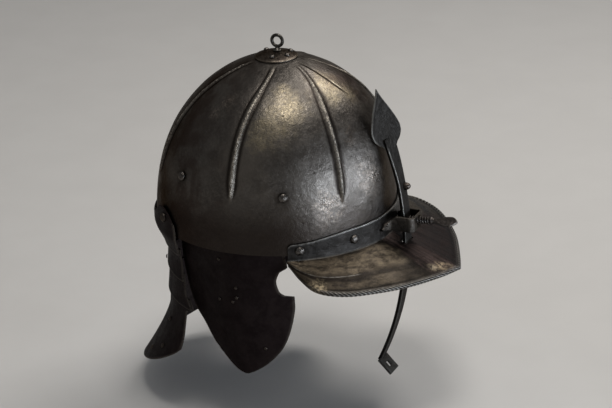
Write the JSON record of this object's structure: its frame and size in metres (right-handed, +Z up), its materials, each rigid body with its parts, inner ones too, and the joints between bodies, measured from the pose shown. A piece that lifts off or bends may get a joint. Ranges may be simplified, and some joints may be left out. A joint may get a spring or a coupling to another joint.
{
  "type": "lobster-tailed pot helmet",
  "caption": "Ribbed round steel helmet skull with an eye on top, falling peak, sliding nasal bar held by a wing screw, pointed cheekpieces and a lamed neck guard.",
  "frame": {"origin": "centre of the skull's open rim, at the rim's own height", "axes": "+Z up through the apex; the wearer looks along -Y; the wearer's right hand is at -X"},
  "size_m": [0.223, 0.3043, 0.3152],
  "materials": {
    "skull_steel": "aged dark steel, worn bright on the curves",
    "apex_steel": "aged dark steel",
    "peak_steel": "brown and straw patina with a bright turned edge",
    "nasal_steel": "grey steel with fine lengthwise grain",
    "fitting_steel": "dark forged steel",
    "screw_steel": "brownish handled steel",
    "black_steel": "very dark brown-black",
    "rivet_metal": "rubbed steel",
    "small_rivet": "rubbed steel"
  },
  "bodies": {
    "helmet": {"skull": "skull_steel", "apex_plate": "apex_steel", "apex_eye": "apex_steel", "peak": "peak_steel", "nasal_staple": "fitting_steel", "cheekpiece_right": "black_steel", "cheekpiece_left": "black_steel", "neck_lame_1": "black_steel", "neck_lame_2": "black_steel", "neck_lame_3": "black_steel", "neck_lame_4": "black_steel", "apex_rivet_1": "rivet_metal", "apex_rivet_2": "rivet_metal", "apex_rivet_3": "rivet_metal", "apex_rivet_4": "rivet_metal", "skull_rivet_right_1": "rivet_metal", "peak_rivet_right_1": "rivet_metal", "skull_rivet_right_2": "rivet_metal", "peak_rivet_right_2": "rivet_metal", "cheek_rivet_right_1": "small_rivet", "cheek_rivet_right_2": "small_rivet", "cheek_rivet_right_3": "small_rivet", "cheek_rivet_right_4": "small_rivet", "cheek_rivet_right_5": "small_rivet", "cheek_rivet_right_6": "small_rivet", "lame_rivet_right_1": "small_rivet", "lame_rivet_right_2": "small_rivet", "lame_rivet_right_3": "small_rivet", "lame_rivet_right_4": "small_rivet", "lame_rivet_right_5": "small_rivet", "staple_rivet_right": "small_rivet", "skull_rivet_left_1": "rivet_metal", "peak_rivet_left_1": "rivet_metal", "skull_rivet_left_2": "rivet_metal", "peak_rivet_left_2": "rivet_metal", "cheek_rivet_left_1": "small_rivet", "cheek_rivet_left_2": "small_rivet", "cheek_rivet_left_3": "small_rivet", "cheek_rivet_left_4": "small_rivet", "cheek_rivet_left_5": "small_rivet", "cheek_rivet_left_6": "small_rivet", "lame_rivet_left_1": "small_rivet", "lame_rivet_left_2": "small_rivet", "lame_rivet_left_3": "small_rivet", "lame_rivet_left_4": "small_rivet", "lame_rivet_left_5": "small_rivet", "staple_rivet_left": "small_rivet"},
    "nasal": {"nasal_bar": "nasal_steel", "nasal_stop": "rivet_metal"},
    "wing_screw": {"wing_screw": "screw_steel"}
  },
  "joints": [
    {"name": "nasal_slide", "type": "hinge", "parent": "helmet", "child": "nasal", "pos_m": [0, 0.15, -0.0135], "axis": [-1, 0, 0], "range_deg": [-3.5, 20]},
    {"name": "wing_screw_turn", "type": "hinge", "parent": "helmet", "child": "wing_screw", "pos_m": [0, 0.15, -0.0135], "axis": [0, -0.9965, 0.0842], "range_deg": [-180, 180]}
  ]
}
